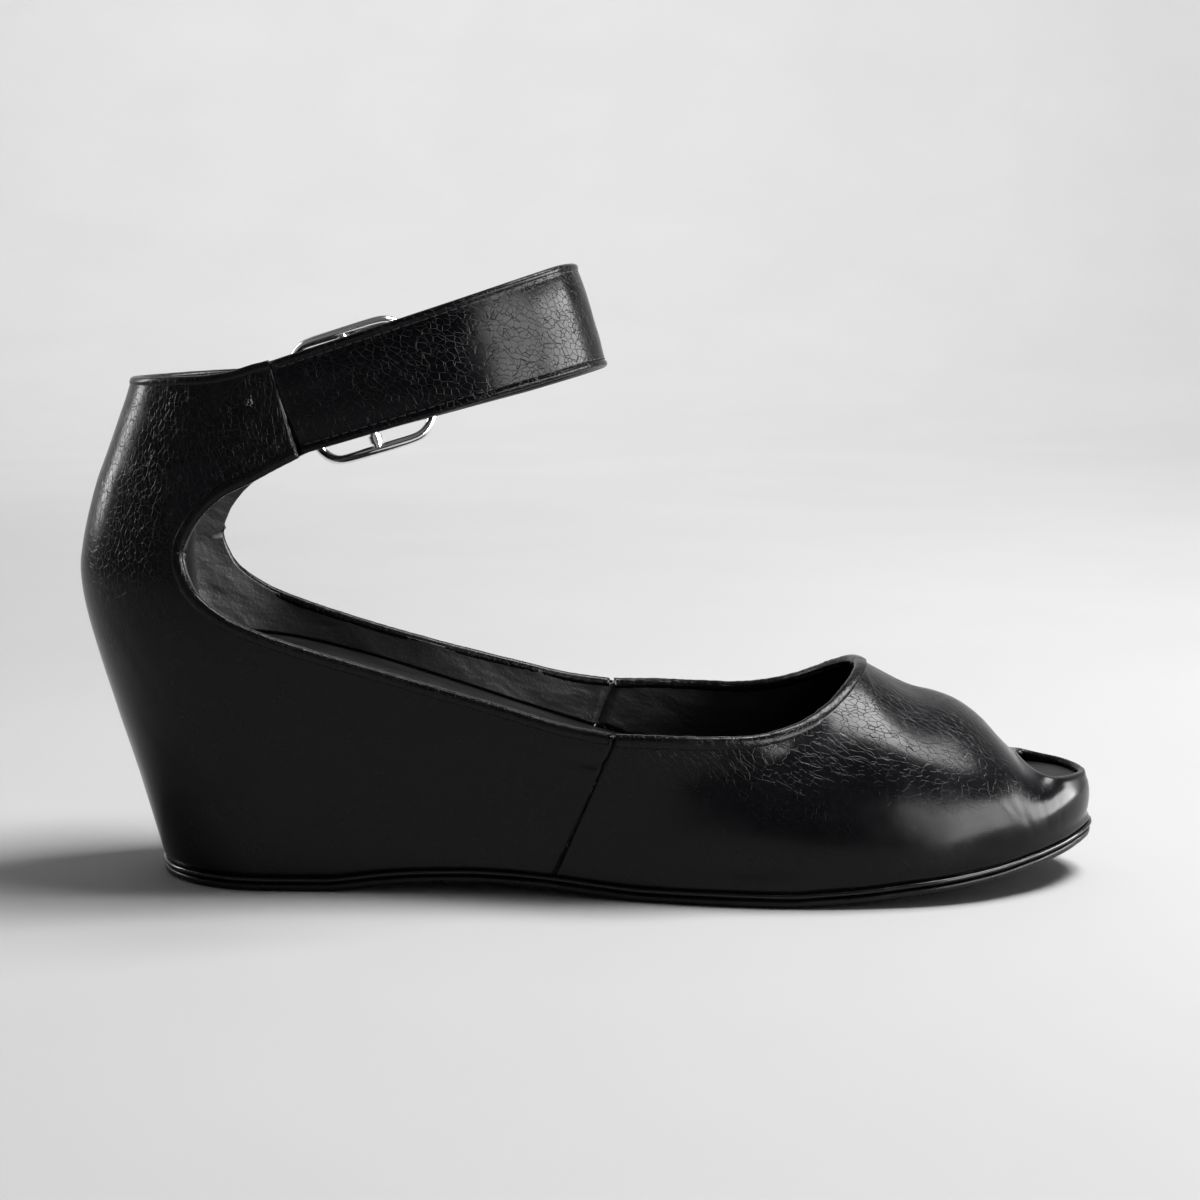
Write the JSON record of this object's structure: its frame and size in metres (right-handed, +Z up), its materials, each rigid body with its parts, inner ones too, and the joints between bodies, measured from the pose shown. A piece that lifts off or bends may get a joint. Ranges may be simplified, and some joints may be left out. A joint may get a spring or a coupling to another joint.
{
  "type": "wedge sandal",
  "caption": "Glazed leather ankle-strap wedge sandal with a peep toe, a closed heel, a covered wedge and a thin rubber sole.",
  "frame": {"origin": "on the floor at the middle of the heel's tread", "axes": "+X to the toe, +Y to the lateral (outer) side of this left shoe, where the buckle is, +Z up"},
  "size_m": [0.247, 0.0884, 0.1473],
  "materials": {
    "cover_leather": "glazed, finely crinkled",
    "lining_leather": "satin",
    "grip_suede": "napped",
    "sock_leather": "smooth satin",
    "welt_leather": "satin",
    "sole_rubber": "matte",
    "wedge_block": "light cork block",
    "foam": "open-cell foam",
    "felt": "felt",
    "board": "fibre board",
    "shank_steel": "plain",
    "buckle_nickel": "polished nickel"
  },
  "bodies": {
    "shoe": {"outsole": "sole_rubber", "welt": "welt_leather", "bottom_filler": "felt", "wedge_core": "wedge_block", "insole_board": "board", "shank": "shank_steel", "shank_rivets": "shank_steel", "footbed_foam": "foam", "sock": "sock_leather", "vamp": "cover_leather", "quarter_medial": "cover_leather", "quarter_lateral": "cover_leather", "heel_counter": "board", "vamp_lining": "lining_leather", "quarter_lining_medial": "lining_leather", "quarter_lining_lateral": "lining_leather", "heel_grip": "grip_suede", "chape": "cover_leather", "keeper_loop": "cover_leather"},
    "strap": {"strap_outer": "cover_leather", "strap_core": "felt", "strap_lining": "lining_leather"},
    "buckle": {"buckle_frame": "buckle_nickel", "buckle_bar": "buckle_nickel"},
    "prong": {"buckle_prong": "buckle_nickel"}
  },
  "joints": [
    {"name": "strap_swing", "type": "hinge", "parent": "shoe", "child": "strap", "pos_m": [0.0046, -0.028, 0.1139], "axis": [-0.2957, 0, 0.9553], "range_deg": [-110, 0], "deforming": ["strap_outer", "strap_core", "strap_lining"]},
    {"name": "buckle_rock", "type": "hinge", "parent": "shoe", "child": "buckle", "pos_m": [0.0167, 0.028, 0.1156], "axis": [-0.2957, 0, 0.9553], "range_deg": [-4, 4]},
    {"name": "prong_swing", "type": "hinge", "parent": "buckle", "child": "prong", "pos_m": [0.0167, 0.028, 0.1156], "axis": [-0.2957, 0, 0.9553], "range_deg": [0, 90]}
  ]
}
